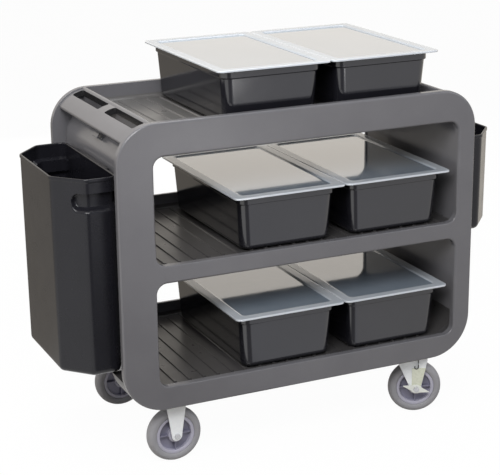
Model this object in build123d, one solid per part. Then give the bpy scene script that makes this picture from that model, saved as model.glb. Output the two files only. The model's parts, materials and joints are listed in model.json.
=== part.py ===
from build123d import *
from math import atan2, cos, pi, sin, tan
import os

# Serving trolley: two moulded ring frames, front and back, hold three ribbed shelves, two end panels and
# two slotted handles between them. A refuse bin hangs on the left end and a cutlery holder on the right.
# Two lidded food pans stand on each shelf. The left casters are rigid, the right ones swivel and brake.
# Millimetres. +X runs along the trolley to the cutlery end, +Y to its back, +Z up from the floor.

# Ring frames
frame_length = 1040.0
frame_beyond_lids = 10.0
frame_top = 938.0
frame_bottom = 172.0
frame_thickness = 20.0
top_corner_radius = 105.0
base_corner_radius = 118.0
left_stile = 98.0
right_stile = 53.0
upper_bay_top = 850.0
lower_bay_top = 518.0
opening_radius = 28.0
edge_round = 6.0
lip_round = 14.0

# Shelves
top_floor = 891.0
middle_floor = 563.0
bottom_floor = 234.0
shelf_thickness = 10.0
front_sill = 2.0
back_lip = 41.0
floor_cove = 12.0
rib_pitch = 41.0
rib_width = 9.0
rib_height = 3.0
rib_slope = 60.0
rib_front_margin = 6.0
rib_back_margin = 16.0
rib_end_margin = 12.0
stiffener_depth = 22.0
stiffener_thickness = 6.0
stiffener_spacing = 150.0
base_bend_radius = 67.0
foot_length = 110.0
foot_depth = 83.0
foot_height = 80.0

# End panels and handles
panel_recess = 38.0
panel_thickness = 12.0
cove_radius = 76.0
handle_inset = 4.0
handle_thickness = 16.0
handle_start_angle = 38.0
handle_reach = 98.0
bead_radius = 7.0
bead_drop = 3.0
tray_wall = 12.0
slot_width = 32.0
slot_end_margin = 14.0
slot_web = 46.0
slot_radius = 6.0
slot_to_bead = 1.0

# Refuse bin and cutlery holder
bin_rim = 800.0
bin_height = 526.0
bin_to_feet = 11.0
holder_rim = 788.0
holder_height = 276.0
tub_reach = 128.5
tub_width = 409.0
tub_flat = 260.0
tub_side = 84.0
tub_gap = 15.0
tub_wall = 3.5
tub_draft = 2.0
tub_corner = 14.0
tub_least_corner = 3.0
tub_base_round = 12.0
collar_width = 1.5
collar_height = 8.0
grip_height = 50.0
grip_length = 104.0
grip_depth = 18.0
grip_drop = 38.0
grip_radius = 20.0
grip_to_back = 14.0

# Hangers for the bin and the holder
hook_width = 240.0
hook_thickness = 3.0
hook_lip = 24.0
hook_play = 0.5
hanger_drop = 27.0
hanger_height = 62.0
hanger_screw_spread = 90.0
hanger_screw_drop = 58.0
hanger_screw_radius = 3.0
hanger_screw_head = 6.0
hanger_screw_length = 13.0
bag_hook_width = 36.0
bag_hook_thickness = 4.0
bag_hook_low_angle = 34.0
bag_hook_high_angle = 60.0
bag_hook_finger = 13.0
bag_hook_tip = 12.0

# Food pans and lids
lid_width = 322.0
lid_depth = 520.0
lid_corner = 16.0
lid_skirt = 5.0
lid_skin = 2.0
lid_border = 28.0
lid_well = 4.0
lid_gap = 1.5
pan_height = 150.0
pan_wall = 2.5
lid_play = 0.6
pan_rim_width = 20.0
pan_rim_thickness = 3.0
pan_band = 24.0
pan_step = 3.5
pan_base_inset = 8.0
pan_corner = 26.0
pan_base_round = 12.0
pan_end_gap = 3.6
bay_pan_side_gap = 28.0
tray_pan_side_gap = 109.0

# Casters
rigid_end_inset = 154.0
swivel_end_inset = 163.0
caster_inset = 59.0
wheel_radius = 76.0
tyre_width = 32.0
tyre_round = 10.0
rim_radius = 51.0
rim_wall = 6.5
hub_width = 30.0
boss_radius = 14.0
bush_radius = 8.0
bush_length = 44.0
web_thickness = 5.0
spoke_count = 4
spoke_thickness = 3.0
axle_radius = 5.0
fork_steel = 3.0
fork_foot_radius = 14.0
rigid_fork_width = 58.0
swivel_fork_width = 86.0
trail = 20.0
front_swivel_angle = -20.0
rear_swivel_angle = 12.0
plate_length = 110.0
plate_width = 72.0
plate_thickness = 4.0
plate_top = 182.0
plate_corner = 8.0
race_radius = 34.0
race_bore = 21.0
race_height = 6.0
ball_ring_height = 6.7
crown_thickness = 6.0
kingpin_radius = 6.0
kingpin_head_radius = 11.0
kingpin_head_height = 4.5
pad_margin = 4.0
screw_radius = 4.0
screw_head_radius = 6.5
screw_head_height = 4.0
screw_grip = 24.0
screw_edge = 12.0
axle_head_radius = 8.5
axle_head_height = 6.0
brake_leg_width = 24.0
brake_leg_spread = 39.0
brake_leg_height = 62.0
brake_leg_thickness = 2.5
brake_span = 78.0
brake_height = 27.0
brake_thickness = 3.0
brake_rest_angle = 16.0

# Clearances
running_fit = 0.05
seat_gap = 0.3
hole_gap = 0.1

# Places worked out from the sizes above
half_length = frame_length / 2
frame_depth = lid_depth + frame_beyond_lids
front_face = -frame_depth / 2
inner_depth = frame_depth / 2 - frame_thickness
panel_outer = half_length - panel_recess
panel_inner = panel_outer - panel_thickness
bead_x = half_length - handle_reach
tray_end = bead_x - tray_wall / 2
tray_wall_outer = bead_x + tray_wall / 2
cove_top = top_floor - shelf_thickness
base_bend_top = bottom_floor + base_bend_radius
foot_top = plate_top + foot_height
slot_length = inner_depth - slot_web / 2 - slot_end_margin
caster_y = frame_depth / 2 - caster_inset
leg_inner = bush_length / 2 + seat_gap
leg_outer = leg_inner + fork_steel
crown_top = plate_top - plate_thickness - race_height - ball_ring_height - seat_gap
tub_back = panel_outer + tub_gap
tub_shoulder = tub_back + tub_side
pan_base_half = lid_depth / 2 - lid_skin - lid_play - pan_rim_width + pan_wall - pan_step - pan_base_inset
pan_shift = inner_depth - pan_base_half - pan_end_gap
tub_turn = atan2((tub_width - tub_flat) / 2, half_length + tub_reach - tub_shoulder)


def across(face, start, end):
    """A section drawn in X and Z, run along Y from start to end."""
    return extrude(Plane.XZ.offset(-start) * face, amount=end - start, dir=(0, 1, 0))


def rectangle(x0, x1, z0, z1):
    return Pos((x0 + x1) / 2, (z0 + z1) / 2) * Rectangle(x1 - x0, z1 - z0)


def rounded(x0, x1, z0, z1, low_radius, high_radius):
    """A rectangle whose lower and upper corners have their own radii."""
    face = fillet(rectangle(x0, x1, z0, z1).vertices().group_by(Axis.Y)[-1], high_radius)
    return fillet(face.vertices().group_by(Axis.Y)[0], low_radius)


def upright(x, y, z, radius, height):
    """A round bar standing on z."""
    return Pos(x, y, z) * extrude(Circle(radius), amount=height)


def ring_frame(upper_sill, lower_sill):
    """The front frame: a rounded plate with two bay openings and soft edges on its show face."""
    face = rounded(-half_length, half_length, frame_bottom, frame_top, base_corner_radius, top_corner_radius)
    left = -half_length + left_stile
    right = half_length - right_stile
    for sill, head in ((upper_sill, upper_bay_top), (lower_sill, lower_bay_top)):
        face -= rounded(left, right, sill, head, opening_radius, opening_radius)
    plate = across(face, front_face, front_face + frame_thickness)
    plate = fillet(plate.faces().sort_by(Axis.Y)[0].outer_wire().edges(), edge_round)
    show_face = plate.faces().sort_by(Axis.Y)[0]
    lips = [edge for wire in show_face.inner_wires() for edge in wire.edges()]
    return fillet(lips, lip_round)


def ribs(end, floor):
    """Low ribs along Y, centred between the shelf ends at -end and +end."""
    count = int(2 * (end - rib_end_margin) // rib_pitch)
    section = Trapezoid(rib_width, rib_height, rib_slope, align=(Align.CENTER, Align.MIN))
    first = -rib_pitch * (count - 1) / 2
    places = [Pos(first + rib_pitch * i, floor) for i in range(count)]
    return [across(p * section, -inner_depth + rib_front_margin, inner_depth - rib_back_margin) for p in places]


def stiffeners(end, underside):
    """Deep ribs along X under a shelf."""
    section = rectangle(-end, end, underside - stiffener_depth, underside)
    places = (-stiffener_spacing, 0, stiffener_spacing)
    half = stiffener_thickness / 2
    return [across(section, y - half, y + half) for y in places]


def back_cove(end, floor):
    """A hollow fillet along the back of a floor, where it turns up into the lip."""
    hollow = Pos(inner_depth - floor_cove, floor + floor_cove) * Circle(floor_cove)
    strip = rectangle(inner_depth - floor_cove, inner_depth, floor, floor + floor_cove) - hollow
    return extrude(Plane.YZ.offset(-end) * strip, amount=2 * end)


def flat_shelf(end, floor):
    plate = across(rectangle(-end, end, floor - shelf_thickness, floor), -inner_depth, inner_depth)
    return plate + ribs(end, floor) + stiffeners(end, floor - shelf_thickness) + back_cove(end, floor)


def caster_places():
    """X and Y of the four casters, the rigid pair on the left first."""
    ends = (rigid_end_inset - half_length, half_length - swivel_end_inset)
    return [(x, y) for x in ends for y in (-caster_y, caster_y)]


def corner_foot():
    """The front right foot: it carries the frame's base corner inwards, and is cut back for a deep bin."""
    outline = rounded(-half_length, half_length, frame_bottom, frame_top, base_corner_radius, top_corner_radius)
    section = outline & rectangle(half_length - foot_length, half_length, plate_top, foot_top)
    room = rectangle(panel_outer, half_length, bin_rim - bin_height - bin_to_feet, bin_rim)
    side = tub_width / 2 + bin_to_feet
    return across(section, -inner_depth, foot_depth - inner_depth) - across(room, -side, side)


def bottom_shelf():
    """The base: its ends bend up into the end panels, and feet and pads below carry the casters."""
    outer = rectangle(-panel_outer, panel_outer, bottom_floor - panel_thickness, base_bend_top)
    outer = fillet(outer.vertices().group_by(Axis.Y)[0], base_bend_radius + panel_thickness)
    inner = rectangle(-panel_inner, panel_inner, bottom_floor, base_bend_top + panel_thickness)
    inner = fillet(inner.vertices().group_by(Axis.Y)[0], base_bend_radius)
    underside = bottom_floor - panel_thickness
    feet = corner_foot()
    feet += mirror(feet, about=Plane.XZ)
    feet += mirror(feet, about=Plane.YZ)
    shelf = across(outer, -inner_depth, inner_depth) + feet - across(inner, -inner_depth, inner_depth)
    shelf += ribs(panel_inner - base_bend_radius, bottom_floor)
    shelf += stiffeners(panel_inner - base_bend_radius, underside)
    shelf += back_cove(panel_inner - base_bend_radius, bottom_floor)
    pad = RectangleRounded(plate_length + 2 * pad_margin, plate_width, plate_corner)
    for x, y in caster_places():
        shelf += Pos(x, y, plate_top) * extrude(pad, amount=underside + panel_thickness / 2 - plate_top)
    holes = [
        upright(x, y, plate_top, screw_radius + hole_gap, screw_grip - plate_thickness + hole_gap)
        for x, y in caster_screw_places()
    ]
    return shelf - holes


def caster_screw_places():
    dx = plate_length / 2 - screw_edge
    dy = plate_width / 2 - screw_edge
    corners = [(a, b) for a in (-dx, dx) for b in (-dy, dy)]
    return [(x + a, y + b) for x, y in caster_places() for a, b in corners]


def coved_section(radius, face_x):
    """Section of the right end wall below a face at face_x that turns in over a cove of this radius."""
    centre_z = cove_top - cove_radius
    wall = rectangle(tray_wall_outer, face_x, base_bend_top, centre_z)
    arch = Pos(panel_outer - cove_radius, centre_z) * Circle(radius)
    return wall + (arch & rectangle(tray_wall_outer, face_x, centre_z, cove_top))


def end_panel(rim):
    """The right end wall, with a cove at its top that makes room for the fingers under the handle."""
    section = coved_section(cove_radius, panel_outer) - coved_section(cove_radius - panel_thickness, panel_inner)
    holes = [
        Pos(panel_outer, y, z) * hanger_screw_bar(hanger_screw_radius + hole_gap)
        for y, z in hanger_screw_places(rim)
    ]
    return across(section, -inner_depth, inner_depth) - holes


def handle():
    """The right handle: a bar on the frame's corner arc, two finger slots, and the tray's end wall."""
    centre = Pos(half_length - top_corner_radius, frame_top - top_corner_radius)
    bar_radius = top_corner_radius - handle_inset
    far = 2 * bar_radius
    start = Vector(1, 0).rotate(Axis.Z, handle_start_angle)
    limits = [(0, 0), (start.X * far, start.Y * far), (far, far), (0, far)]
    wedge = make_face(Polyline(*limits, close=True))
    arc = (Circle(bar_radius) - Circle(bar_radius - handle_thickness)) & wedge
    nose = start * (bar_radius - handle_thickness / 2)
    arc += Pos(nose.X, nose.Y) * Circle(handle_thickness / 2)
    bead_centre = frame_top - bead_drop - bead_radius
    section = centre * arc
    section += rectangle(tray_end, tray_wall_outer, cove_top - panel_thickness, bead_centre)
    section += Pos(bead_x, bead_centre) * Circle(bead_radius)
    bar = across(section, -inner_depth, inner_depth)
    slot_x = bead_x + bead_radius + slot_to_bead + slot_width / 2
    slot = extrude(RectangleRounded(slot_width, slot_length, slot_radius), amount=far)
    for side in (-1, 1):
        bar -= Pos(slot_x, side * (slot_web + slot_length) / 2, cove_top) * slot
    return bar


def base_curve(radius):
    """Inset and height of three rings that round a base off."""
    angles = (0, pi / 4, pi / 2)
    return [(radius * (1 - sin(angle)), radius * (1 - cos(angle))) for angle in angles]


def tub_outline(inset):
    """Plan of the right tub, a half octagon with soft corners, narrowed all round by inset."""
    side = tub_width / 2
    half = [
        (tub_back + inset, side - inset),
        (tub_shoulder - inset * tan(tub_turn / 2), side - inset),
        (half_length + tub_reach - inset, tub_flat / 2 - inset * tan(pi / 4 - tub_turn / 2)),
    ]
    other_half = [(x, -y) for x, y in reversed(half)]
    corner = max(tub_corner - inset, tub_least_corner)
    return fillet(make_face(Polyline(*half, *other_half, close=True)).vertices(), corner)


def tub_block(rim, height, inset):
    """A tapered block of the tub's plan, narrowed all round and raised by inset, with a rounded base."""
    rings = []
    for extra, rise in base_curve(tub_base_round - inset):
        draft = tub_draft * (1 - (rise + inset) / height)
        rings.append(Pos(0, 0, rim - height + inset + rise) * tub_outline(inset + draft + extra))
    rings.append(Pos(0, 0, rim) * tub_outline(inset))
    return loft(rings, ruled=True)


def grip_block(rim, height, grow):
    """The space of the finger grips, which wrap from the tub's sides onto its slanted faces, grown all round."""
    half_turn = tub_turn / 2
    along = Vector(cos(half_turn), -sin(half_turn))
    outwards = Vector(sin(half_turn), cos(half_turn))
    depth = grip_depth + grow
    middle = Vector(tub_back + grip_to_back, tub_width / 2, rim - grip_drop - grip_height / 2)
    middle += along * (grip_length / 2) - outwards * (depth / cos(half_turn))
    window = RectangleRounded(grip_length + 2 * grow, grip_height + 2 * grow, grip_radius + grow)
    one = extrude(Plane(middle, x_dir=along, z_dir=outwards) * window, amount=depth + grip_length)
    one -= Pos(0, 0, rim - height) * extrude(tub_outline(depth), amount=height)
    return one + mirror(one, about=Plane.XZ)


def hook_stations():
    """X of the hanging parts, from the collar towards the panel: upstand and leg, outer and inner faces."""
    upstand_outer = tub_back - collar_width - hook_play
    upstand_inner = upstand_outer - hook_thickness
    leg_outer_x = upstand_inner - hook_play
    return upstand_outer, upstand_inner, leg_outer_x, leg_outer_x - hook_thickness


def hanging_tub(rim, height, with_grips):
    """A right-hand tub with a rim collar and a folded lip along its back to hang it by."""
    body = tub_block(rim, height, 0)
    cavity = tub_block(rim, height, tub_wall)
    if with_grips:
        body -= grip_block(rim, height, 0)
        cavity -= grip_block(rim, height, tub_wall)
    collar = tub_outline(-collar_width) - tub_outline(tub_wall)
    tub = body - cavity
    tub += Pos(0, 0, rim - collar_height) * extrude(collar, amount=collar_height)
    leg_outer_x, leg_inner_x = hook_stations()[2:]
    lip = rectangle(leg_inner_x, tub_back - collar_width / 2, rim - hook_thickness, rim)
    lip += rectangle(leg_inner_x, leg_outer_x, rim - hook_lip, rim)
    return tub + across(lip, -hook_width / 2, hook_width / 2)


def hanger_screw_bar(radius):
    """A screw's shank, pointing into the right end panel."""
    return Rot(0, -90, 0) * extrude(Circle(radius), amount=hanger_screw_length - hook_thickness)


def hanger_screw_places(rim):
    z = rim - hanger_screw_drop
    return [(side * hanger_screw_spread, z) for side in (-1, 1)]


def hanger(rim):
    """A bent strip on the right end panel whose upstand stands behind the tub's folded lip."""
    upstand_outer, upstand_inner = hook_stations()[:2]
    high = rim - hanger_drop
    section = rectangle(panel_outer, panel_outer + hook_thickness, high - hanger_height, high)
    section += rectangle(panel_outer, upstand_outer, high - hook_thickness, high)
    section += rectangle(upstand_inner, upstand_outer, high - hook_thickness, rim - hook_thickness - seat_gap)
    strip = across(section, -hook_width / 2, hook_width / 2)
    holes = [
        Pos(panel_outer, y, z) * Rot(0, 90, 0) * extrude(Circle(hanger_screw_radius), amount=hook_thickness)
        for y, z in hanger_screw_places(rim)
    ]
    return strip - holes


def hanger_screws(rim):
    shank = hanger_screw_bar(hanger_screw_radius)
    shank += Rot(0, 90, 0) * extrude(Circle(hanger_screw_radius), amount=hook_thickness)
    head = Pos(hook_thickness, 0, 0) * Rot(0, 90, 0) * extrude(Circle(hanger_screw_head), amount=hook_thickness)
    return [Pos(panel_outer, y, z) * (shank + head) for y, z in hanger_screw_places(rim)]


def bag_hook():
    """A small hook that follows the left cove, with a finger that points outwards and turns up."""
    outer = cove_radius + bag_hook_thickness
    far = 2 * outer
    low = Vector(1, 0).rotate(Axis.Z, bag_hook_low_angle)
    high = Vector(1, 0).rotate(Axis.Z, bag_hook_high_angle)
    wedge = make_face(Polyline((0, 0), (low.X * far, low.Y * far), (high.X * far, high.Y * far), close=True))
    clip = (Circle(outer) - Circle(cove_radius)) & wedge
    reach = bag_hook_finger + bag_hook_thickness
    finger = Rectangle(reach, bag_hook_thickness, align=(Align.MIN, Align.MIN))
    tip = Pos(bag_hook_finger, 0) * Rectangle(bag_hook_thickness, bag_hook_tip, align=(Align.MIN, Align.MIN))
    clip += Rot(0, 0, bag_hook_low_angle) * Pos(cove_radius, 0) * (finger + tip)
    section = Pos(panel_outer - cove_radius, cove_top - cove_radius) * clip
    return across(section, -bag_hook_width / 2, bag_hook_width / 2)


def slab(width, depth, corner, low, high):
    """An upright block with rounded corners."""
    return Pos(0, 0, low) * extrude(RectangleRounded(width, depth, corner), amount=high - low)


def pan_form(inset):
    """The outside of a food pan below its rim: tapered body and straight band, narrowed by inset."""
    rim_width = lid_width - 2 * (lid_skin + lid_play)
    rim_depth = lid_depth - 2 * (lid_skin + lid_play)
    trim = pan_rim_width - pan_wall + inset
    shoulder = pan_height - pan_band + inset
    rings = []
    for extra, rise in base_curve(pan_base_round - inset) + [(0, shoulder - inset)]:
        taper = pan_base_inset * (1 - (rise + inset) / shoulder)
        narrow = trim + pan_step + taper + extra
        corner = pan_corner - inset - extra
        face = RectangleRounded(rim_width - 2 * narrow, rim_depth - 2 * narrow, corner)
        rings.append(Pos(0, 0, inset + rise) * face)
    body = loft(rings, ruled=True)
    band = slab(rim_width - 2 * trim, rim_depth - 2 * trim, pan_corner - inset, shoulder, pan_height)
    return body + band


def food_pan():
    rim_width = lid_width - 2 * (lid_skin + lid_play)
    rim_depth = lid_depth - 2 * (lid_skin + lid_play)
    rim_corner = lid_corner - lid_skin - lid_play
    rim = slab(rim_width, rim_depth, rim_corner, pan_height - pan_rim_thickness, pan_height)
    return pan_form(0) + rim - pan_form(pan_wall)


def food_lid():
    """A cap with a skirt over the pan's rim, a raised border and a sunk middle."""
    seat = pan_height + seat_gap
    top = seat + lid_skin
    cap = slab(lid_width, lid_depth, lid_corner, top - lid_skirt, top)
    cap -= slab(lid_width - 2 * lid_skin, lid_depth - 2 * lid_skin, lid_corner - lid_skin, top - lid_skirt, seat)
    well_width, well_depth = lid_width - 2 * lid_border, lid_depth - 2 * lid_border
    outer = slab(well_width + 2 * lid_skin, well_depth + 2 * lid_skin, lid_corner, seat - lid_well, seat)
    return cap + outer - slab(well_width, well_depth, lid_corner - lid_skin, top - lid_well, top)


def pan_places():
    """Name and place of each pan: two on every level, at the back of the tray and the front of the bays."""
    ends = (
        ("top", half_length - tray_pan_side_gap, pan_shift, top_floor),
        ("middle", panel_inner - bay_pan_side_gap, -pan_shift, middle_floor),
        ("bottom", panel_inner - bay_pan_side_gap, -pan_shift, bottom_floor),
    )
    places = []
    for level, end, y, floor in ends:
        right = end - lid_width / 2
        z = floor + rib_height + seat_gap
        places.append((f"{level}_right", Pos(right, y, z)))
        places.append((f"{level}_left", Pos(right - lid_width - lid_gap, y, z)))
    return places


def turned(face):
    """A section drawn with radius in X and width in Y, turned about the axle."""
    return revolve(face, axis=Axis.Y)


def tyre():
    """A solid tyre whose tread falls away in two steps to each side wall."""
    half = tyre_width / 2
    side = [
        (rim_radius, half),
        (wheel_radius - tyre_round, half),
        (wheel_radius - 0.3 * tyre_round, half - 0.3 * tyre_round),
        (wheel_radius, half - tyre_round),
    ]
    other_side = [(r, -y) for r, y in reversed(side)]
    return turned(make_face(Polyline(*side, *other_side, close=True)))


def hub():
    """A rim and a boss joined by a thin web and a ring of spokes."""
    inner_rim = rim_radius - rim_wall
    boss_half = bush_length / 2 - fork_steel
    face = rectangle(inner_rim, rim_radius, -hub_width / 2, hub_width / 2)
    face += rectangle(bush_radius, boss_radius, -boss_half, boss_half)
    face += rectangle(boss_radius, inner_rim, -web_thickness / 2, web_thickness / 2)
    spoke_length = inner_rim - boss_radius + rim_wall / 2
    middle = boss_radius + spoke_length / 2 - rim_wall / 4
    spoke = Pos(middle, 0, 0) * Box(spoke_length, hub_width - 2 * rim_wall, spoke_thickness)
    return turned(face) + [Rot(0, 360 / spoke_count * i, 0) * spoke for i in range(spoke_count)]


def bush():
    half = bush_length / 2
    return turned(rectangle(axle_radius + running_fit, bush_radius, -half, half))


def along_axle(radius, start, end):
    """A round bar on the axle line."""
    return across(Circle(radius), start, end)


def axle(outer_stack):
    """A bolt through the fork: hexagon head on the outer side, which is -Y, and a nut on the inner."""
    head_face = -leg_outer - outer_stack
    hexagon = RegularPolygon(axle_head_radius, 6)
    bolt = along_axle(axle_radius, head_face, leg_outer + axle_head_height)
    bolt += across(hexagon, head_face - axle_head_height, head_face)
    return bolt + across(hexagon, leg_outer, leg_outer + axle_head_height)


def leg(x0, x1, high):
    """The outer leg of a fork, which narrows from a strip at the top to a round foot on the axle."""
    strip = rectangle(x0, x1, high - crown_thickness, high)
    foot = Circle(fork_foot_radius)
    outline = make_hull(strip.edges() + foot.edges()) - Circle(axle_radius)
    return across(outline, -leg_outer, -leg_inner)


def mounting_plate():
    plate = RectangleRounded(plate_length, plate_width, plate_corner)
    dx = plate_length / 2 - screw_edge
    dy = plate_width / 2 - screw_edge
    plate -= [Pos(a, b) * Circle(screw_radius) for a in (-dx, dx) for b in (-dy, dy)]
    return Pos(0, 0, plate_top - plate_thickness) * extrude(plate, amount=plate_thickness)


def rigid_fork():
    half = rigid_fork_width / 2
    outer = leg(-half, half, plate_top - plate_thickness - wheel_radius)
    legs = outer + mirror(outer, about=Plane.XZ)
    return mounting_plate() + Pos(0, 0, wheel_radius) * legs


def swivel_plate():
    """The fixed plate of a swivel caster with its upper ball race below it."""
    low = plate_top - plate_thickness - race_height
    race = Pos(0, 0, low) * extrude(Circle(race_radius) - Circle(race_bore), amount=race_height)
    return mounting_plate() + race - upright(0, 0, low, kingpin_radius, plate_top - low)


def kingpin():
    head_top = crown_top - crown_thickness - seat_gap
    pin = upright(0, 0, head_top, kingpin_radius, plate_top - head_top)
    return pin + upright(0, 0, head_top - kingpin_head_height, kingpin_head_radius, kingpin_head_height)


def swivel_fork():
    """A crown that turns on the kingpin, with two trailing legs."""
    x0 = -race_radius
    x1 = x0 + swivel_fork_width
    outer = leg(x0 - trail, x1 - trail, crown_top - wheel_radius)
    legs = outer + mirror(outer, about=Plane.XZ)
    crown = Circle(race_radius) + rectangle(0, x1, -leg_outer, leg_outer)
    crown += rectangle(x0, 0, -leg_outer, leg_outer)
    crown -= Circle(kingpin_radius + running_fit)
    top = Pos(0, 0, crown_top - crown_thickness) * extrude(crown, amount=crown_thickness)
    return top + Pos(trail, 0, wheel_radius) * legs


def ball_race():
    ring = Circle(race_radius - fork_steel) - Circle(race_bore)
    return Pos(0, 0, crown_top) * extrude(ring, amount=ball_ring_height)


def brake_plate():
    """A strip on the outer leg that carries the brake and widens towards its top."""
    half = brake_leg_width / 2
    top = rectangle(-half, brake_leg_spread - half, brake_leg_height - brake_leg_thickness, brake_leg_height)
    face = make_hull(top.edges() + Circle(half).edges()) - Circle(axle_radius)
    start = -leg_outer - brake_leg_thickness
    return Pos(trail, 0, wheel_radius) * across(face, start, -leg_outer)


def brake_lever():
    """A two-ended foot lever that rocks on the axle, drawn with its outer end down."""
    tip = brake_thickness
    ends = [Pos(side * (brake_span / 2 - tip), 0) * Circle(tip) for side in (-1, 1)]
    middle = Circle(brake_height / 2)
    outline = make_hull(ends[0].edges() + ends[1].edges() + middle.edges())
    start = -leg_outer - brake_leg_thickness - seat_gap - brake_thickness
    lever = across(outline - Circle(axle_radius + running_fit), start, start + brake_thickness)
    return Pos(trail, 0, wheel_radius) * Rot(0, brake_rest_angle, 0) * lever


def caster_screw():
    head_top = plate_top - plate_thickness
    head = RegularPolygon(screw_head_radius, 6)
    screw = Pos(0, 0, head_top - screw_head_height) * extrude(head, amount=screw_head_height)
    return screw + upright(0, 0, head_top, screw_radius, screw_grip)


def save(name, shape):
    export_step(shape, f"parts/{name}.step")


def save_group(name, shapes):
    save(name, Compound(children=list(shapes)))


def save_body():
    save("front_frame", ring_frame(middle_floor + front_sill, bottom_floor + front_sill))
    back = ring_frame(middle_floor + back_lip, bottom_floor + back_lip)
    save("back_frame", mirror(back, about=Plane.XZ))
    save("top_shelf", flat_shelf(tray_end, top_floor))
    save("middle_shelf", flat_shelf(panel_inner, middle_floor))
    save("bottom_shelf", bottom_shelf())
    save("right_end_panel", end_panel(holder_rim))
    save("left_end_panel", mirror(end_panel(bin_rim), about=Plane.YZ))
    save("right_handle", handle())
    save("left_handle", mirror(handle(), about=Plane.YZ))


def save_tubs():
    save("cutlery_holder", hanging_tub(holder_rim, holder_height, False))
    save("refuse_bin", mirror(hanging_tub(bin_rim, bin_height, True), about=Plane.YZ))
    save("holder_hanger", hanger(holder_rim))
    save("bin_hanger", mirror(hanger(bin_rim), about=Plane.YZ))
    save("bag_hook", mirror(bag_hook(), about=Plane.YZ))
    left_screws = [mirror(screw, about=Plane.YZ) for screw in hanger_screws(bin_rim)]
    save_group("hanger_screws", hanger_screws(holder_rim) + left_screws)


def save_pans():
    pan = food_pan()
    lid = food_lid()
    for name, place in pan_places():
        save(f"{name}_pan", place * pan)
        save(f"{name}_lid", place * lid)


def facing(side, shape):
    """A caster piece drawn for the front, turned to face the side that it is on."""
    return mirror(shape, about=Plane.XZ) if side > 0 else shape


def save_wheel(name, place):
    save(f"{name}_tyre", place * tyre())
    save(f"{name}_hub", place * hub())
    save(f"{name}_bush", place * bush())


def save_casters():
    stack = brake_leg_thickness + brake_thickness + 2 * seat_gap
    places = [Pos(x, y, 0) for x, y in caster_places()]
    sides = ((-1, "front", front_swivel_angle), (1, "rear", rear_swivel_angle))
    for (side, end, angle), left, right in zip(sides, places[:2], places[2:]):
        swivel = right * Rot(0, 0, angle)
        axle_left = left * Pos(0, 0, wheel_radius)
        axle_right = swivel * Pos(trail, 0, wheel_radius)
        save_wheel(f"{end}_left", axle_left)
        save_wheel(f"{end}_right", axle_right)
        save(f"{end}_rigid_fork", left * facing(side, rigid_fork()))
        save(f"{end}_rigid_axle", axle_left * facing(side, axle(0)))
        save(f"{end}_swivel_plate", right * swivel_plate())
        save(f"{end}_kingpin", right * kingpin())
        save(f"{end}_swivel_fork", swivel * facing(side, swivel_fork()))
        save(f"{end}_ball_race", swivel * ball_race())
        save(f"{end}_swivel_axle", axle_right * facing(side, axle(stack)))
        save(f"{end}_brake_plate", swivel * facing(side, brake_plate()))
        save(f"{end}_brake_lever", swivel * facing(side, brake_lever()))
    save_group("caster_screws", [Pos(x, y, 0) * caster_screw() for x, y in caster_screw_places()])


os.makedirs("parts", exist_ok=True)
save_body()
save_tubs()
save_pans()
save_casters()
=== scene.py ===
import json
import math

import bmesh
import bpy
from mathutils import Matrix, Vector


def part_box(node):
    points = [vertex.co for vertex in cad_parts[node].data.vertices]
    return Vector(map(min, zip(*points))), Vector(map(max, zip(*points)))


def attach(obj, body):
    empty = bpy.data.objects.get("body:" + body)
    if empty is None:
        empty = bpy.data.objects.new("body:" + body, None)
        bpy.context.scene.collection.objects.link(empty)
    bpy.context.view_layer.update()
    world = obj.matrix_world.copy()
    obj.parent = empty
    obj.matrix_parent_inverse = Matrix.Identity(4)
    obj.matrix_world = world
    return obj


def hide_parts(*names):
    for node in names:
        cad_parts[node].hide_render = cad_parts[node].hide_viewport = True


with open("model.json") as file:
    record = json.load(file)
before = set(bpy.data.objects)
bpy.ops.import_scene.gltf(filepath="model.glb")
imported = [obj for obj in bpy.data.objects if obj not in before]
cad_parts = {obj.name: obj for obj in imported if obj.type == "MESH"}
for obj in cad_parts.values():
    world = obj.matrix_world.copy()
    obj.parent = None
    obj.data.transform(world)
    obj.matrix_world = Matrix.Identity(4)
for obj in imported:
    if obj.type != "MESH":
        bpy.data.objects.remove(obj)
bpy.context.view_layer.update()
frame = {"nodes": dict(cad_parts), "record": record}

# Serving trolley: materials, finer pieces in place of some CAD nodes, camera and studio.
# Sizes are in millimetres unless a comment says metres.

nodes = frame["nodes"]
record = frame["record"]
behaviour = record["behaviour"]
body_of = {node: body for body, members in behaviour["bodies"].items() for node in members}
slot_of = {part["node"]: part["material_slot"] for part in record["subparts"]}
joints = {joint["name"]: joint for joint in behaviour["joints"]}
mm = 0.001


# Shader nodes

noise_low, noise_high = 0.3, 0.7        # most of a noise texture lies between these
scratch_low, scratch_high = 0.62, 0.8   # and scuffs show only between these


def new_material(name):
    mat = bpy.data.materials.new(name)
    mat.use_nodes = True
    tree = mat.node_tree
    return mat, tree, tree.nodes["Principled BSDF"]


def add(tree, kind, **values):
    node = tree.nodes.new(kind)
    for key, value in values.items():
        setattr(node, key, value)
    return node


def axes(tree, vector):
    """The X, Y and Z of a vector."""
    split = add(tree, "ShaderNodeSeparateXYZ")
    tree.links.new(vector, split.inputs["Vector"])
    return split.outputs


def maths(tree, operation, *values):
    """The result of a sum on sockets and plain numbers."""
    node = add(tree, "ShaderNodeMath", operation=operation)
    for socket, value in zip(node.inputs, values):
        if isinstance(value, float):
            socket.default_value = value
        else:
            tree.links.new(value, socket)
    return node.outputs[0]


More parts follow.
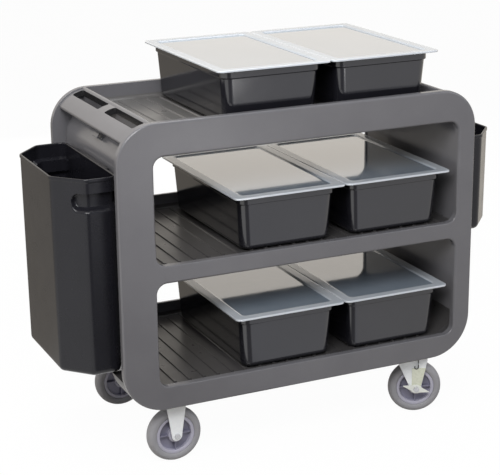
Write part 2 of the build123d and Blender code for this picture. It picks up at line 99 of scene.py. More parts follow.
def noise(tree, coords, scale, detail=3.0, roughness=0.55, stretch=None):
    """A noise texture that stays with the object."""
    tex = add(tree, "ShaderNodeTexNoise")
    tex.inputs["Scale"].default_value = scale
    tex.inputs["Detail"].default_value = detail
    tex.inputs["Roughness"].default_value = roughness
    source = coords.outputs["Object"]
    if stretch:
        mapping = add(tree, "ShaderNodeMapping")
        mapping.inputs["Scale"].default_value = stretch
        tree.links.new(source, mapping.inputs["Vector"])
        source = mapping.outputs["Vector"]
    tree.links.new(source, tex.inputs["Vector"])
    return tex.outputs["Fac"]


def ramp(tree, value, stops):
    """Colours along a value, from stops of (position, colour)."""
    node = add(tree, "ShaderNodeValToRGB")
    elements = node.color_ramp.elements
    while len(elements) < len(stops):
        elements.new(0.5)
    for element, (pos, colour) in zip(elements, stops):
        element.position = pos
        element.color = (*colour, 1.0)
    tree.links.new(value, node.inputs["Fac"])
    return node.outputs["Color"]


def span(tree, value, low, high, to_low, to_high):
    """A value carried over from one range to another."""
    node = add(tree, "ShaderNodeMapRange")
    node.inputs["From Min"].default_value = low
    node.inputs["From Max"].default_value = high
    node.inputs["To Min"].default_value = to_low
    node.inputs["To Max"].default_value = to_high
    tree.links.new(value, node.inputs["Value"])
    return node.outputs["Result"]


def mixed(tree, fac, a, b):
    """A mix of two colours, each a socket or a plain colour."""
    node = add(tree, "ShaderNodeMix", data_type="RGBA")
    tree.links.new(fac, node.inputs[0])
    for socket, value in ((node.inputs[6], a), (node.inputs[7], b)):
        if isinstance(value, tuple):
            socket.default_value = (*value, 1.0)
        else:
            tree.links.new(value, socket)
    return node.outputs[2]


def two_tone(tree, value, dark, light):
    return ramp(tree, value, [(noise_low, dark), (noise_high, light)])


def uneven_gloss(tree, bsdf, value, rough):
    tree.links.new(span(tree, value, noise_low, noise_high, *rough), bsdf.inputs["Roughness"])


def bump(tree, bsdf, height, strength, distance):
    node = add(tree, "ShaderNodeBump")
    node.inputs["Strength"].default_value = strength
    node.inputs["Distance"].default_value = distance
    tree.links.new(height, node.inputs["Height"])
    tree.links.new(node.outputs["Normal"], bsdf.inputs["Normal"])


# Materials

def plastic(name, dark, light, rough, grain=900.0, grain_strength=0.12, specular=0.5, scuff=0.06):
    """Moulded plastic: cloudy colour with faint pale scuffs, uneven gloss and fine grain."""
    mat, tree, bsdf = new_material(name)
    coords = add(tree, "ShaderNodeTexCoord")
    colour = two_tone(tree, noise(tree, coords, scale=7.0, detail=4.0), dark, light)
    scratches = noise(tree, coords, scale=60.0, detail=5.0, roughness=0.7, stretch=(1.0, 1.0, 0.12))
    marks = span(tree, scratches, scratch_low, scratch_high, 0.0, scuff)
    pale = tuple(min(1.0, c * 2.2 + 0.05) for c in light)
    tree.links.new(mixed(tree, marks, colour, pale), bsdf.inputs["Base Color"])
    uneven_gloss(tree, bsdf, noise(tree, coords, scale=22.0, detail=4.0), rough)
    bsdf.inputs["Specular IOR Level"].default_value = specular
    fine = noise(tree, coords, scale=grain, detail=2.0)
    bump(tree, bsdf, fine, strength=grain_strength, distance=0.0004)
    return mat


def metal(name, dark, light, rough, metallic=0.85):
    """Plated steel: mottled zinc with a fine grain."""
    mat, tree, bsdf = new_material(name)
    coords = add(tree, "ShaderNodeTexCoord")
    spangle = noise(tree, coords, scale=180.0, detail=3.0, roughness=0.5)
    tree.links.new(two_tone(tree, spangle, dark, light), bsdf.inputs["Base Color"])
    bsdf.inputs["Metallic"].default_value = metallic
    uneven_gloss(tree, bsdf, noise(tree, coords, scale=70.0, detail=4.0), rough)
    fine = noise(tree, coords, scale=1500.0, detail=2.0)
    bump(tree, bsdf, fine, strength=0.05, distance=0.0002)
    return mat


def milky(name, dark, light, see_through, rough=(0.05, 0.09), coat=1.0):
    """Milky plastic with a glossy face that lets some light through."""
    mat, tree, bsdf = new_material(name)
    coords = add(tree, "ShaderNodeTexCoord")
    cloud = noise(tree, coords, scale=9.0, detail=4.0)
    tree.links.new(two_tone(tree, cloud, dark, light), bsdf.inputs["Base Color"])
    bsdf.inputs["Transmission Weight"].default_value = see_through
    bsdf.inputs["IOR"].default_value = 1.49
    bsdf.inputs["Specular IOR Level"].default_value = 0.8
    bsdf.inputs["Coat Weight"].default_value = coat
    bsdf.inputs["Coat Roughness"].default_value = 0.04
    uneven_gloss(tree, bsdf, noise(tree, coords, scale=25.0, detail=4.0), rough)
    fine = noise(tree, coords, scale=600.0, detail=2.0)
    bump(tree, bsdf, fine, strength=0.02, distance=0.0003)
    return mat


body_look = {
    "dark": (0.138, 0.137, 0.148), "light": (0.154, 0.153, 0.164), "rough": (0.21, 0.24),
    "grain_strength": 0.03, "specular": 0.48, "scuff": 0.03,
}
black = ((0.009, 0.009, 0.012), (0.012, 0.012, 0.016))

body_mat = plastic("body_plastic", **body_look)
# a copy of the body plastic that carries painted shade in the finger slots
slot_shaded_handle_mat = plastic("handle_plastic_painted_slot_shade", **body_look)
# shelves and top tray: one plastic in two tones; the darker shelf copy is painted shade on the bay
# floors under the shelves above, the tray copy is its lit counterpart
shaded_shelf_mat = plastic("shelf_plastic_painted_shade", (0.050, 0.048, 0.049), (0.057, 0.055, 0.056), (0.27, 0.33),
                    grain=700.0, grain_strength=0.05, specular=0.36, scuff=0.03)
lit_tray_mat = plastic("tray_plastic_lit_copy", (0.112, 0.109, 0.108), (0.125, 0.122, 0.121), (0.27, 0.33),
                   grain=700.0, grain_strength=0.05, specular=0.5, scuff=0.03)
tub_mat = plastic("tub_plastic", *black, (0.22, 0.28),
                  grain=700.0, grain_strength=0.02, specular=0.40, scuff=0.03)
pan_mat = plastic("pan_plastic", *black, (0.10, 0.15),
                  grain=500.0, grain_strength=0.02, specular=1.0, scuff=0.04)
tyre_mat = plastic("tyre_rubber", (0.30, 0.30, 0.32), (0.33, 0.33, 0.35), (0.5, 0.62),
                   grain=1400.0, grain_strength=0.2, specular=0.4)
hub_mat = plastic("hub_plastic", (0.20, 0.197, 0.265), (0.23, 0.226, 0.30), (0.34, 0.44))
# rim and boss: a paler copy of the hub plastic, partly their own tone, partly painted light on
# their faces
lit_ring_mat = plastic("hub_ring_painted_light", (0.42, 0.415, 0.50), (0.47, 0.465, 0.55), (0.30, 0.40))
hanger_mat = plastic("hanger_coat", (0.02, 0.02, 0.021), (0.028, 0.028, 0.03), (0.4, 0.5),
                     grain=700.0, grain_strength=0.1)
spring_mat = plastic("spring_wire", (0.012, 0.012, 0.013), (0.02, 0.02, 0.021), (0.3, 0.4),
                     grain=1500.0, grain_strength=0.05)
fork_mat = metal("fork_zinc", (0.90, 0.93, 0.95), (0.94, 0.97, 0.98), (0.36, 0.46), metallic=0.12)
brake_mat = metal("brake_zinc", (0.66, 0.68, 0.54), (0.76, 0.78, 0.64), (0.3, 0.42), metallic=0.6)
lever_mat = metal("lever_zinc", (0.80, 0.82, 0.76), (0.88, 0.90, 0.84), (0.3, 0.4), metallic=0.3)
bolt_mat = metal("bolt_steel", (0.6, 0.6, 0.61), (0.72, 0.72, 0.73), (0.28, 0.4))
lid_mat = milky("lid_plastic", (0.23, 0.28, 0.34), (0.27, 0.32, 0.38), see_through=0.10)
lid_border_mat = milky("lid_border", (0.46, 0.50, 0.55), (0.50, 0.54, 0.59), see_through=0.05,
                       rough=(0.2, 0.26), coat=0.3)
lid_edge_mat = milky("lid_edge", (0.56, 0.60, 0.65), (0.60, 0.64, 0.69), see_through=0.03)

slot_material = {
    "body_plastic": body_mat, "tub_plastic": tub_mat, "pan_plastic": pan_mat,
    "lid_plastic": lid_mat, "tyre_rubber": tyre_mat, "hub_plastic": hub_mat,
    "bush_steel": bolt_mat, "fork_zinc": fork_mat, "brake_steel": brake_mat,
    "bolt_steel": bolt_mat, "hanger_steel": hanger_mat,
}

slot_near, slot_far = 0.4295, 0.4625    # finger slots, metres from the trolley's middle
# painted shade colour for the finger slots' upright walls
slot_shade = (0.02, 0.02, 0.021)
steep, level = 0.3, 0.6                 # upward part of a surface's normal


def paint_slot_shade(mat):
    """Paints shade on the upright walls of the finger slots."""
    tree = mat.node_tree
    base = tree.nodes["Principled BSDF"].inputs["Base Color"]
    coords = add(tree, "ShaderNodeTexCoord")
    away = maths(tree, "ABSOLUTE", axes(tree, coords.outputs["Object"])["X"])
    inside = maths(tree, "COMPARE", away, (slot_near + slot_far) / 2, (slot_far - slot_near) / 2)
    tilt = maths(tree, "ABSOLUTE", axes(tree, coords.outputs["Normal"])["Z"])
    upright = span(tree, tilt, steep, level, 1.0, 0.0)
    slot_shade_mask = maths(tree, "MULTIPLY", inside, upright)
    tree.links.new(mixed(tree, slot_shade_mask, base.links[0].from_socket, slot_shade), base)
    return mat


# bay shelves take the painted-shade copy, the top tray the lit copy
special_material = {"top_shelf": lit_tray_mat, "middle_shelf": shaded_shelf_mat, "bottom_shelf": shaded_shelf_mat}
# the handles' plastic, with painted shade in the finger slots
special_material |= dict.fromkeys(("left_handle", "right_handle"), paint_slot_shade(slot_shaded_handle_mat))


# How pieces are made

def new_object(name, data):
    obj = bpy.data.objects.new(name, data)
    bpy.context.scene.collection.objects.link(obj)
    return obj


def piece_from(bm, name, body, mats, sharp=50.0):
    """Makes a smooth-shaded piece of a bmesh that rides on a body."""
    bmesh.ops.recalc_face_normals(bm, faces=bm.faces)
    data = bpy.data.meshes.new(name)
    bm.to_mesh(data)
    bm.free()
    for poly in data.polygons:
        poly.use_smooth = True
    data.set_sharp_from_angle(angle=math.radians(sharp))
    for mat in mats:
        data.materials.append(mat)
    obj = new_object(name, data)
    even = obj.modifiers.new("even", "WEIGHTED_NORMAL")
    even.keep_sharp = True
    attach(obj, body)
    return obj


def skin(bm, rings, wrap=False):
    """Joins rings of points with quads. The ends are capped, or the last ring meets the first."""
    rows = [[bm.verts.new(point) for point in ring] for ring in rings]
    count = len(rows[0])
    pairs = list(zip(rows, rows[1:]))
    if wrap:
        pairs.append((rows[-1], rows[0]))
    faces = []
    for low, high in pairs:
        for i in range(count):
            j = (i + 1) % count
            faces.append(bm.faces.new((low[i], low[j], high[j], high[i])))
    if not wrap:
        faces += [bm.faces.new(rows[0]), bm.faces.new(rows[-1])]
    return faces


def turns(count):
    """Angles that share out a full turn."""
    return [2 * math.pi * i / count for i in range(count)]


def quarter(steps, start=0):
    """Angles over a quarter turn, from a start in degrees."""
    return [math.radians(start + 90 * k / steps) for k in range(steps + 1)]


def tube(bm, points, radius, sides=12):
    """A round bar along a smooth row of points."""
    rings = []
    for i, point in enumerate(points):
        ahead = points[min(i + 1, len(points) - 1)] - points[max(i - 1, 0)]
        turn = ahead.to_track_quat("Z", "Y")
        rings.append([point + turn @ Vector((radius * math.cos(a), radius * math.sin(a), 0))
                      for a in turns(sides)])
    skin(bm, rings)


def smooth(value):
    """A soft step from zero to one."""
    value = min(1.0, max(0.0, value))
    return value * value * (3 - 2 * value)


# Lids and pans

def rounded_loop(half_x, half_y, radius, steps=10):
    """A rounded rectangle, anticlockwise from its right side."""
    corners = ((1, 1, 0.0), (-1, 1, 0.5), (-1, -1, 1.0), (1, -1, 1.5))
    loop = []
    for sx, sy, start in corners:
        for i in range(steps + 1):
            angle = math.pi * (start + 0.5 * i / steps)
            loop.append((sx * (half_x - radius) + radius * math.cos(angle),
                         sy * (half_y - radius) + radius * math.sin(angle)))
    return loop


def dished(name, node, half, profile, zones=()):
    """A tray-like piece of rings, each (inset, height, corner radius), round its node's middle.

    Zones are runs of rings with a material of their own.
    """
    low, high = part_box(node)
    x, y = (low[0] + high[0]) / 2, (low[1] + high[1]) / 2
    bm = bmesh.new()
    rings = []
    for inset, z, radius in profile:
        loop = rounded_loop((half[0] - inset) * mm, (half[1] - inset) * mm, radius * mm)
        rings.append([(x + px, y + py, low[2] + z * mm) for px, py in loop])
    faces = skin(bm, rings)
    count = len(rings[0])
    mats = [slot_material[slot_of[node]]]
    for first, last, mat in zones:
        for face in faces[first * count:last * count]:
            face.material_index = len(mats)
        mats.append(mat)
    obj = piece_from(bm, name, body_of[node], mats)
    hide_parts(node)
    return obj


lid_half = (161.0, 260.0)
lid_profile = [
    (33.0, 0.0, 10.0), (30.6, 0.2, 12.0), (29.2, 0.9, 13.0), (27.6, 3.2, 13.5), (26.6, 3.8, 14.0),
    (25.6, 4.0, 14.0), (3.2, 4.0, 13.0), (2.4, 3.6, 13.5), (2.0, 3.0, 14.0), (2.0, 1.2, 14.0),
    (1.7, 1.0, 14.2), (0.4, 1.0, 15.6), (0.0, 1.3, 16.0), (0.0, 4.0, 16.0), (0.25, 4.8, 15.8),
    (0.9, 5.5, 15.3), (1.9, 5.9, 14.6), (3.2, 6.0, 14.0), (23.4, 6.0, 13.4), (25.0, 5.8, 13.2),
    (26.6, 5.2, 13.0), (28.2, 3.7, 12.4), (29.0, 2.7, 12.0), (30.2, 2.15, 11.4), (31.6, 2.0, 11.0),
    (36.0, 2.0, 10.0),
]
lid_zones = [(8, 17, lid_edge_mat), (17, 22, lid_border_mat)]

pan_half = (158.4, 257.4)
pan_profile = [
    (44.0, 2.5, 12.0), (36.0, 3.2, 18.0), (33.3, 5.2, 21.0), (31.6, 9.0, 22.5), (31.2, 14.0, 23.0),
    (23.6, 122.6, 23.5), (23.2, 124.4, 23.5), (21.4, 126.4, 23.5), (20.4, 127.4, 23.5),
    (20.0, 129.0, 23.5), (20.0, 148.4, 23.5), (19.5, 149.5, 23.6), (18.4, 150.0, 23.8),
    (1.4, 150.0, 12.6), (0.4, 149.6, 13.2), (0.0, 148.8, 13.4), (0.0, 147.8, 13.4),
    (0.4, 147.1, 13.2), (1.2, 146.9, 12.8), (15.8, 146.9, 24.6), (17.0, 146.4, 25.6),
    (17.5, 145.2, 26.0), (17.5, 128.6, 26.0), (17.8, 127.4, 26.0), (18.8, 126.4, 26.0),
    (20.2, 125.8, 26.0), (21.0, 124.8, 26.0), (21.3, 123.2, 26.0), (28.3, 14.0, 26.0),
    (29.0, 9.0, 25.5), (30.6, 5.2, 24.5), (33.3, 2.2, 22.5), (37.0, 0.6, 19.5), (41.0, 0.0, 16.0),
]

shelves, sides = ("top", "middle", "bottom"), ("left", "right")
pan_spots = [f"{shelf}_{side}" for shelf in shelves for side in sides]
for spot in pan_spots:
    dished(f"{spot}_lid_moulding", f"{spot}_lid", lid_half, lid_profile, lid_zones)
    dished(f"{spot}_pan_moulding", f"{spot}_pan", pan_half, pan_profile)


# Wheels

def lathe(bm, profile, steps=72):
    """A closed section of (radius, width) turned about the axle, which runs along Y."""
    rings = []
    for radius, y in profile:
        rings.append([(radius * mm * math.cos(a), y * mm, radius * mm * math.sin(a))
                      for a in turns(steps)])
    return skin(bm, rings, wrap=True)


def both_sides(half):
    """A section given on one side of the wheel, repeated on the other side."""
    return half + [(radius, -y) for radius, y in reversed(half)]


tyre_half = [(53.6, 14.4), (54.4, 15.6), (55.8, 16.6), (58.4, 17.7), (61.4, 18.3), (64.6, 18.2),
             (67.8, 17.2), (70.8, 15.1), (73.2, 12.0), (74.9, 8.0), (75.8, 3.6)]
rim_half = [(44.6, 9.0), (45.0, 13.2), (45.8, 14.6), (47.2, 15.3), (52.4, 15.3), (53.4, 14.8),
            (53.9, 13.6)]
dish_half = [(45.8, 4.4), (43.0, 3.2), (39.0, 2.6), (25.0, 2.6), (21.8, 3.4), (20.6, 5.4)]
boss_half = [(20.8, 5.0), (20.4, 9.0), (20.2, 15.6), (19.5, 16.9), (18.2, 17.4), (15.2, 17.4),
             (14.4, 16.9), (14.0, 16.0), (13.4, 15.6), (12.8, 16.0), (12.6, 18.4), (12.0, 19.0),
             (9.0, 19.0), (8.1, 18.4)]
spoke_count, spoke_middle, spoke_round = 4, 33.0, 0.8
spoke_length, spoke_width, spoke_thickness = 27.0, 25.0, 3.4
rest_angle = {"front": math.radians(-20), "rear": math.radians(12)}


def axle_place(joint, angle):
    """The middle of a wheel's axle, turned with its fork."""
    return Matrix.Translation(joint["pos_m"]) @ Matrix.Rotation(angle, 4, "Z")


def wheel(name, body, place):
    """A tyre on a hub that has a rim, a thin web, four spokes and a boss. The rim and boss take a
    paler copy of the hub plastic: partly their own tone, partly painted light against the shaded
    dish.
    """
    bm = bmesh.new()
    lathe(bm, both_sides(tyre_half))
    bm.transform(place)
    tyre = piece_from(bm, f"{name}_tread", body, [tyre_mat])
    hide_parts(f"{name}_tyre")
    bm = bmesh.new()
    for face in lathe(bm, both_sides(rim_half)) + lathe(bm, both_sides(boss_half)):
        face.material_index = 1
    lathe(bm, both_sides(dish_half))
    outwards = Matrix.Translation((spoke_middle * mm, 0, 0))
    scale = Matrix.Diagonal((spoke_length * mm, spoke_width * mm, spoke_thickness * mm, 1.0))
    for angle in turns(spoke_count):
        spoke = bmesh.ops.create_cube(bm, size=1.0)["verts"]
        turn = Matrix.Rotation(angle, 4, "Y")
        bmesh.ops.transform(bm, matrix=turn @ outwards @ scale, verts=spoke)
        edges = dict.fromkeys(edge for vert in spoke for edge in vert.link_edges)
        bmesh.ops.bevel(bm, geom=list(edges), offset=spoke_round * mm, segments=2, affect="EDGES",
                        profile=0.5)
    bm.transform(place)
    hub = piece_from(bm, f"{name}_wheel_centre", body, [hub_mat, lit_ring_mat])
    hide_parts(f"{name}_hub")


wheels = [name.removesuffix("_roll") for name in joints if name.endswith("_roll")]
for name in wheels:
    joint = joints[f"{name}_roll"]
    end, side = name.split("_")
    wheel(name, joint["child"], axle_place(joint, rest_angle[end] if side == "right" else 0.0))


# Hung tubs, drawn for the right end and turned over for the left

tub_back, tub_shoulder, tub_reach = 497.0, 581.0, 648.5     # along X
tub_side, tub_flat = 204.5, 130.0                           # half widths at the back and the front
tub_turn = math.atan2(tub_side - tub_flat, tub_reach - tub_shoulder)
tub_corner, tub_wall, tub_draft, tub_base_round = 22.0, 3.5, 2.0, 16.0
tub_side_points = (22, 26, 6, 26, 22, 6)                    # between one corner and the next
tub_wall_start, tub_wall_levels, tub_wall_end = 24.0, (0.3, 0.55), 10.0
tub_rim_bead = [
    (-3.6, -9.0), (-4.1, -7.6), (-4.2, -2.4), (-3.8, -0.9), (-2.9, 0.1), (-1.6, 0.4), (-0.5, 0.4),
    (0.7, 0.1), (1.5, -0.8), (1.9, -2.4), (1.8, -7.2), (1.4, -8.4), (0.4, -9.4),
]
grip_start, grip_end, grip_top = -24.0, 127.0, 38.0
grip_height, grip_depth, grip_round = 50.0, 16.0, 22.0
grip_crisp, grip_slope, grip_blend = 4.0, 12.0, 60.0
grip_margin, grip_step, grip_rows = 12.0, 2.5, 30
lip_leg, lip_sheet, lip_drop, lip_half = 488.5, 3.0, 24.0, 120.0
lip_overlap, lip_chamfer = 1.0, 0.8


def tub_loop(outward, steps=8):
    """A tub's plan moved outwards: a half octagon with rounded corners, and points to dent."""
    half = [(tub_back - outward, tub_side + outward),
            (tub_shoulder + outward * math.tan(tub_turn / 2), tub_side + outward),
            (tub_reach + outward, tub_flat + outward * math.tan(math.pi / 4 - tub_turn / 2))]
    plan = [Vector(p) for p in half + [(x, -y) for x, y in reversed(half)]]
    radius = tub_corner + outward
    arcs = []
    for i, here in enumerate(plan):
        before, after = plan[i - 1], plan[(i + 1) % len(plan)]
        a, b = (before - here).normalized(), (after - here).normalized()
        half_angle = a.angle(b) / 2
        middle = here + (a + b).normalized() * (radius / math.sin(half_angle))
        start = here + a * (radius / math.tan(half_angle)) - middle
        sweep = math.pi - 2 * half_angle
        arc = []
        for k in range(steps + 1):
            arm = start.copy()
            arm.rotate(Matrix.Rotation(-sweep * k / steps, 2))
            arc.append(middle + arm)
        arcs.append(arc)
    points = []
    for i, (arc, count) in enumerate(zip(arcs, tub_side_points)):
        first, last = arc[-1], arcs[(i + 1) % len(arcs)][0]
        points += arc + [first.lerp(last, k / (count + 1)) for k in range(1, count + 1)]
    return points


def scoop(point, below_rim):
    """How far a tub's wall is pushed in at a finger grip.

    The grip is a pocket round the back corner, with a sloping lower lip.
    """
    run = point.x - tub_back - max(0.0, tub_side - abs(point.y))
    if point.x > tub_shoulder:
        along = (point.x - tub_shoulder) * math.cos(tub_turn)
        along += (tub_side - abs(point.y)) * math.sin(tub_turn)
        run = tub_shoulder - tub_back + along
    middle = (grip_start + grip_end) / 2
    dx = abs(run - middle) - (grip_end - grip_start) / 2 + grip_round
    dz = abs(below_rim - grip_top - grip_height / 2) - grip_height / 2 + grip_round
    outside = math.hypot(max(dx, 0), max(dz, 0)) + min(max(dx, dz), 0) - grip_round
    soft = grip_crisp + grip_slope * smooth((below_rim - grip_top) / grip_height)
    return grip_depth * smooth(-outside / soft)


def hung_tub(name, node, sign, grips):
    """A tub with a rolled rim, a rounded base, a folded lip behind and perhaps finger grips."""
    rim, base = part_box(node)[1][2] / mm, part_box(node)[0][2] / mm
    heights = [base + tub_wall_start] + [base + (rim - base) * part for part in tub_wall_levels]
    if grips:
        lowest = rim - grip_top - grip_height - grip_margin
        heights += [lowest + grip_step * k for k in range(grip_rows)]
    heights += [rim - tub_wall_end]
    arc = quarter(6)

    def wall(inset, z):
        return -(inset + tub_draft * (1 - (z - base) / (rim - base))), z

    def base_round(inset, radius, angles):
        return [wall(inset + radius * (1 - math.sin(t)), base + inset + radius * (1 - math.cos(t)))
                for t in angles]

    profile = base_round(tub_wall, tub_base_round - tub_wall, arc)
    profile += [wall(tub_wall, z) for z in heights]
    profile += [(outward, rim + z) for outward, z in tub_rim_bead]
    profile += [wall(0.0, z) for z in reversed(heights)]
    profile += base_round(0.0, tub_base_round, reversed(arc))
    push = Vector((math.sin(tub_turn / 2), math.cos(tub_turn / 2)))
    rings = []
    for outward, z in profile:
        ring = []
        for point in tub_loop(outward):
            depth = scoop(point, rim - z) if grips else 0.0
            across = push.x * smooth((point.x - tub_back) / grip_blend)
            x, y = point.x - across * depth, point.y - math.copysign(push.y * depth, point.y)
            ring.append((sign * x * mm, y * mm, z * mm))
        rings.append(ring)
    bm = bmesh.new()
    skin(bm, rings)
    leg, joined = lip_leg + lip_sheet, tub_back + lip_overlap
    lip = [(lip_leg, -lip_drop), (leg, -lip_drop), (leg, -lip_sheet), (joined, -lip_sheet),
           (joined, 0.0), (lip_leg + lip_chamfer, 0.0), (lip_leg, -lip_chamfer)]
    skin(bm, [[(sign * x * mm, y * mm, (rim + z) * mm) for x, z in lip]
              for y in (-lip_half, lip_half)])
    obj = piece_from(bm, name, body_of[node], [tub_mat], sharp=40.0)
    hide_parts(node)


hung_tub("bin_shell", "refuse_bin", sign=-1, grips=True)
hung_tub("holder_shell", "cutlery_holder", sign=1, grips=False)


# Edges of the bays and rails beside the handles

bay_left, bay_right, bay_corner, bay_face = -422.0, 467.0, 28.0, -265.05
edge_depth, edge_proud = 14.0, 0.02
edge_crisp, edge_softer = 3.0, 3.5                          # radius at the sill, and what is added
edge_rise, edge_rise_steps = 60.0, 8                        # on the way up from it
rail_x, rail_height, rail_half, rail_radius, rail_sides = 422.0, 930.5, 252.0, 7.5, 24


def opening_edge(name, sill, head):
    """The crisp front edge round a bay's opening, crispest along its sill."""
    left, right, low, high = (bay_left + bay_corner, bay_right - bay_corner,
                              sill + bay_corner, head - bay_corner)
    rise = [low + edge_rise * k / edge_rise_steps for k in range(1, edge_rise_steps + 1)]
    path = []
    for x, z, start in ((left, low, 180), (right, low, 270), (right, high, 0), (left, high, 90)):
        for t in quarter(12, start):
            path.append((x + bay_corner * math.cos(t), z + bay_corner * math.sin(t),
                         -math.cos(t), -math.sin(t)))
        if start == 270:
            path += [(bay_right, z, -1.0, 0.0) for z in rise]
    path += [(bay_left, z, 1.0, 0.0) for z in reversed(rise)]
    rings = []
    for x, z, nx, nz in path:
        radius = edge_crisp + edge_softer * smooth((z - sill - bay_corner) / edge_rise)
        ring = [(bay_face + edge_depth, edge_proud)]
        ring += [(bay_face + radius * (1 - math.sin(t)), -radius * (1 - math.cos(t)))
                 for t in quarter(9)]
        ring += [(bay_face, -edge_depth), (bay_face + edge_depth, -edge_depth)]
        rings.append([((x + nx * n) * mm, y * mm, (z + nz * n) * mm) for y, n in ring])
    bm = bmesh.new()
    skin(bm, rings, wrap=True)
    piece_from(bm, name, body_of["front_frame"], [body_mat], sharp=60.0)


def bead_rail(name, x):
    """The round rail between a handle's finger slots and the tray."""
    bm = bmesh.new()
    ends = [Vector((x * mm, y * mm, rail_height * mm)) for y in (-rail_half, rail_half)]
    tube(bm, ends, rail_radius * mm, rail_sides)
    piece_from(bm, name, body_of["front_frame"], [body_mat])


opening_edge("upper_opening_edge", sill=565.0, head=850.0)
opening_edge("lower_opening_edge", sill=236.0, head=518.0)
bead_rail("left_bead_rail", -rail_x)
bead_rail("right_bead_rail", rail_x)


# Brakes

pedal_flank = [(39.0, 0.9), (24.0, 5.0), (14.0, 8.2), (8.6, 11.4)]
pedal_upper = pedal_flank + [(0.0, 13.4)] + [(-x, z) for x, z in reversed(pedal_flank)]
pedal_outline = pedal_upper + [(-x, -z) for x, z in pedal_upper]
pedal_layers = ((28.1, 0.965), (28.7, 1.0), (30.5, 1.0), (31.1, 0.965))    # (distance out, scale)
pedal_tilt = math.radians(16)
spring_wire = [(5.0, 88.0), (5.2, 80.0), (5.2, 72.0), (5.0, 66.0), (3.6, 62.6), (0.8, 60.8),
               (-2.4, 61.4), (-4.6, 63.6), (-5.2, 66.6), (-4.6, 69.4)]
spring_out, spring_radius = 29.6, 1.5


def brake_place(end):
    return axle_place(joints[f"{end}_brake_press"], rest_angle[end])


def brake_pedal(end, sign):
    """A two-ended foot lever with hollow flanks, which rocks outside the brake strip."""
    bm = bmesh.new()
    skin(bm, [[(x * k * mm, sign * y * mm, z * k * mm) for x, z in pedal_outline]
              for y, k in pedal_layers])
    bm.transform(brake_place(end) @ Matrix.Rotation(pedal_tilt, 4, "Y"))
    obj = piece_from(bm, f"{end}_brake_pedal", f"{end}_brake", [lever_mat], sharp=30.0)
    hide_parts(f"{end}_brake_lever")


def brake_spring(end, sign):
    """The bent wire that holds a brake lever off, on the outside of its swivel fork."""
    bm = bmesh.new()
    wire = [Vector((x * mm, sign * spring_out * mm, z * mm)) for x, z in spring_wire]
    tube(bm, wire, spring_radius * mm)
    bm.transform(brake_place(end))
    piece_from(bm, f"{end}_brake_spring", f"{end}_swivel", [spring_mat])


brake_pedal("front", -1)
brake_pedal("rear", 1)
brake_spring("front", -1)
brake_spring("rear", 1)


# CAD nodes that keep their shape

edge_width = {      # metres
    "body_plastic": 0.0012, "tub_plastic": 0.0012, "fork_zinc": 0.0006, "brake_steel": 0.0006,
    "bolt_steel": 0.0004, "bush_steel": 0.0003, "hanger_steel": 0.0005,
}


def dress(node, width):
    """Gives a CAD node its material, merges its flat triangles and rounds its edges."""
    obj = nodes[node]
    obj.data.materials.clear()
    obj.data.materials.append(special_material.get(node, slot_material[slot_of[node]]))
    for poly in obj.data.polygons:
        poly.use_smooth = True
    weld = obj.modifiers.new("weld", "WELD")
    weld.merge_threshold = 2e-6
    flat = obj.modifiers.new("flat", "DECIMATE")
    flat.decimate_type = "DISSOLVE"
    flat.angle_limit = math.radians(0.4)
    edge = obj.modifiers.new("edge", "BEVEL")
    edge.limit_method = "ANGLE"
    edge.angle_limit = math.radians(33)
    edge.width = width
    edge.segments = 2
    even = obj.modifiers.new("even", "WEIGHTED_NORMAL")
    even.weight = 60


replaced = {f"{spot}_{kind}" for spot in pan_spots for kind in ("lid", "pan")}
replaced |= {f"{name}_{kind}" for name in wheels for kind in ("tyre", "hub")}
replaced |= {"refuse_bin", "cutlery_holder", "front_brake_lever", "rear_brake_lever"}
for node in nodes:
    if node not in replaced:
        dress(node, edge_width[slot_of[node]])


# Camera, set to the photograph's view

azimuth, elevation, roll = -0.4342, 0.3015, 0.011           # radians
camera_place = (-1.6968, -3.5748, 1.7439)                   # metres
focal_pixels, photo_width, sensor_width = 1477.7, 500.0, 36.0


def photo_camera():
    flat = math.cos(elevation)
    forward = Vector((-math.sin(azimuth) * flat, math.cos(azimuth) * flat, -math.sin(elevation)))
    across = forward.cross(Vector((0, 0, 1))).normalized()
    down = forward.cross(across)
    right = math.cos(roll) * across + math.sin(roll) * down
    up = math.sin(roll) * across - math.cos(roll) * down
    data = bpy.data.cameras.new("camera")
    data.sensor_fit = "HORIZONTAL"
    data.sensor_width = sensor_width
    data.lens = sensor_width * focal_pixels / photo_width
    data.clip_end = 60.0
    cam = new_object("camera", data)
    turn = Matrix((right, up, -forward)).transposed().to_4x4()
    cam.matrix_world = Matrix.Translation(camera_place) @ turn
    bpy.context.scene.camera = cam


# Studio: white floor, soft lights, pale surroundings

white = (1.0, 1.0, 1.0)
room_light = 0.36               # strength of the surroundings as a light
reflection_turn = 115.5               # degrees from the painted reflection's bearings to the trolley's
reflection_stops = [                  # (bearing, colour) of the painted reflection
    (-180, (0.34, 0.31, 0.27)), (-105, (0.37, 0.34, 0.30)), (-70, white), (-14, white),
    (-6, (0.22, 0.22, 0.24)), (22, (0.22, 0.22, 0.24)), (32, (0.78, 0.79, 0.85)),
    (100, (0.80, 0.78, 0.76)), (150, (0.95, 0.88, 0.78)), (180, (0.34, 0.31, 0.27)),
]
floor_half, floor_glow = 30.0, 0.97
near_white, warm_white, ivory = (1.0, 0.99, 0.98), (1.0, 0.98, 0.95), (1.0, 0.99, 0.97)
cool_white, sky_white = (0.96, 0.97, 1.0), (0.96, 0.99, 1.0)


def seen_directly(tree):
    """One for rays that look, also in a mirror or through a lid, and zero for those that light."""
    rays = add(tree, "ShaderNodeLightPath").outputs
    looking = maths(tree, "MAXIMUM", rays["Is Camera Ray"], rays["Is Glossy Ray"])
    return maths(tree, "MAXIMUM", looking, rays["Is Transmission Ray"])


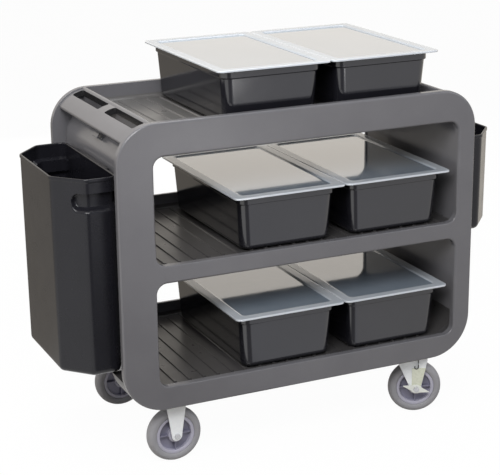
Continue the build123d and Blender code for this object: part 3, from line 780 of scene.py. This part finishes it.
def surroundings():
    """A warm wall behind the object and a cool room in front of it, but white to the camera."""
    world = bpy.data.worlds.new("studio")
    bpy.context.scene.world = world
    world.use_nodes = True
    tree = world.node_tree
    back = tree.nodes["Background"]
    coords = add(tree, "ShaderNodeTexCoord")
    depth = span(tree, axes(tree, coords.outputs["Generated"])["Y"], -1.0, 1.0, 0.0, 1.0)
    wall = ramp(tree, depth, [(0.25, (0.42, 0.44, 0.50)), (0.75, (1.0, 0.94, 0.86))])
    path = add(tree, "ShaderNodeLightPath")
    tree.links.new(mixed(tree, path.outputs["Is Camera Ray"], wall, white), back.inputs["Color"])
    strength = span(tree, seen_directly(tree), 0.0, 1.0, room_light, 1.0)
    tree.links.new(strength, back.inputs["Strength"])


def painted_floor_reflection(tree):
    """A painted reflection in the floor's glow, which polished walls mirror by its bearing: dark
    towards the camera's stand.
    """
    coords = add(tree, "ShaderNodeTexCoord")
    turned = add(tree, "ShaderNodeMapping")
    turned.inputs["Rotation"].default_value = (0, 0, math.radians(reflection_turn))
    tree.links.new(coords.outputs["Object"], turned.inputs["Vector"])
    place = axes(tree, turned.outputs["Vector"])
    bearing = maths(tree, "ARCTAN2", place["Y"], place["X"])
    part = span(tree, bearing, -math.pi, math.pi, 0.0, 1.0)
    return ramp(tree, part, [((angle + 180) / 360, colour) for angle, colour in reflection_stops])


def white_floor():
    """A floor that looks white, keeps a faint shadow and throws little light back."""
    bm = bmesh.new()
    bmesh.ops.create_grid(bm, x_segments=1, y_segments=1, size=floor_half)
    data = bpy.data.meshes.new("floor")
    bm.to_mesh(data)
    bm.free()
    floor = new_object("floor", data)
    mat, tree, bsdf = new_material("floor")
    camera_ray = add(tree, "ShaderNodeLightPath").outputs["Is Camera Ray"]
    coords = add(tree, "ShaderNodeTexCoord")
    tone = two_tone(tree, noise(tree, coords, scale=3.0), (0.36, 0.33, 0.29), (0.38, 0.35, 0.31))
    tree.links.new(mixed(tree, camera_ray, tone, (0.95, 0.95, 0.95)), bsdf.inputs["Base Color"])
    bsdf.inputs["Roughness"].default_value = 0.9
    glow = add(tree, "ShaderNodeEmission")
    # glossy rays see the floor glow tinted by bearing: a painted reflection
    tree.links.new(mixed(tree, camera_ray, painted_floor_reflection(tree), white), glow.inputs["Color"])
    glow.inputs["Strength"].default_value = 1.0
    mix = add(tree, "ShaderNodeMixShader")
    tree.links.new(maths(tree, "MULTIPLY", seen_directly(tree), floor_glow), mix.inputs[0])
    tree.links.new(bsdf.outputs[0], mix.inputs[1])
    tree.links.new(glow.outputs[0], mix.inputs[2])
    tree.links.new(mix.outputs[0], tree.nodes["Material Output"].inputs["Surface"])
    data.materials.append(mat)


def area(name, place, aim, size, watts, tint, mirrored=True):
    """A soft lamp that glossy faces may mirror."""
    data = bpy.data.lights.new(name, "AREA")
    data.shape = "RECTANGLE"
    data.size, data.size_y = size
    data.energy = watts
    data.color = tint
    lamp = new_object(name, data)
    lamp.visible_glossy = mirrored
    lamp.location = place
    lamp.rotation_euler = (Vector(aim) - Vector(place)).to_track_quat("-Z", "Y").to_euler()


def studio():
    bpy.context.scene.view_settings.view_transform = "Standard"
    surroundings()
    white_floor()
    area("key", (-1.2, -1.9, 2.5), (0, 0, 0.7), (2.0, 1.4), 74.0, near_white)
    area("side", (-3.0, 0.3, 1.8), (-0.5, 0, 0.75), (1.6, 1.6), 24.0, warm_white, mirrored=False)
    area("fill", (3.0, -2.8, 1.8), (0, 0, 0.5), (2.0, 2.0), 28.0, cool_white)
    area("top", (0.2, 0.4, 3.2), (0, 0, 0.6), (2.4, 1.8), 34.0, sky_white)
    area("glint", (0.74, -2.75, 0.19), (-0.3, -0.265, 0.89), (0.45, 0.2), 1.1, near_white)
    area("back", (0.5, 3.6, 0.7), (0, 0, 0.55), (2.6, 0.8), 34.0, warm_white, mirrored=False)
    area("end", (3.6, 0.9, 0.9), (0, 0, 0.6), (1.6, 1.0), 26.0, ivory, mirrored=False)


photo_camera()
studio()
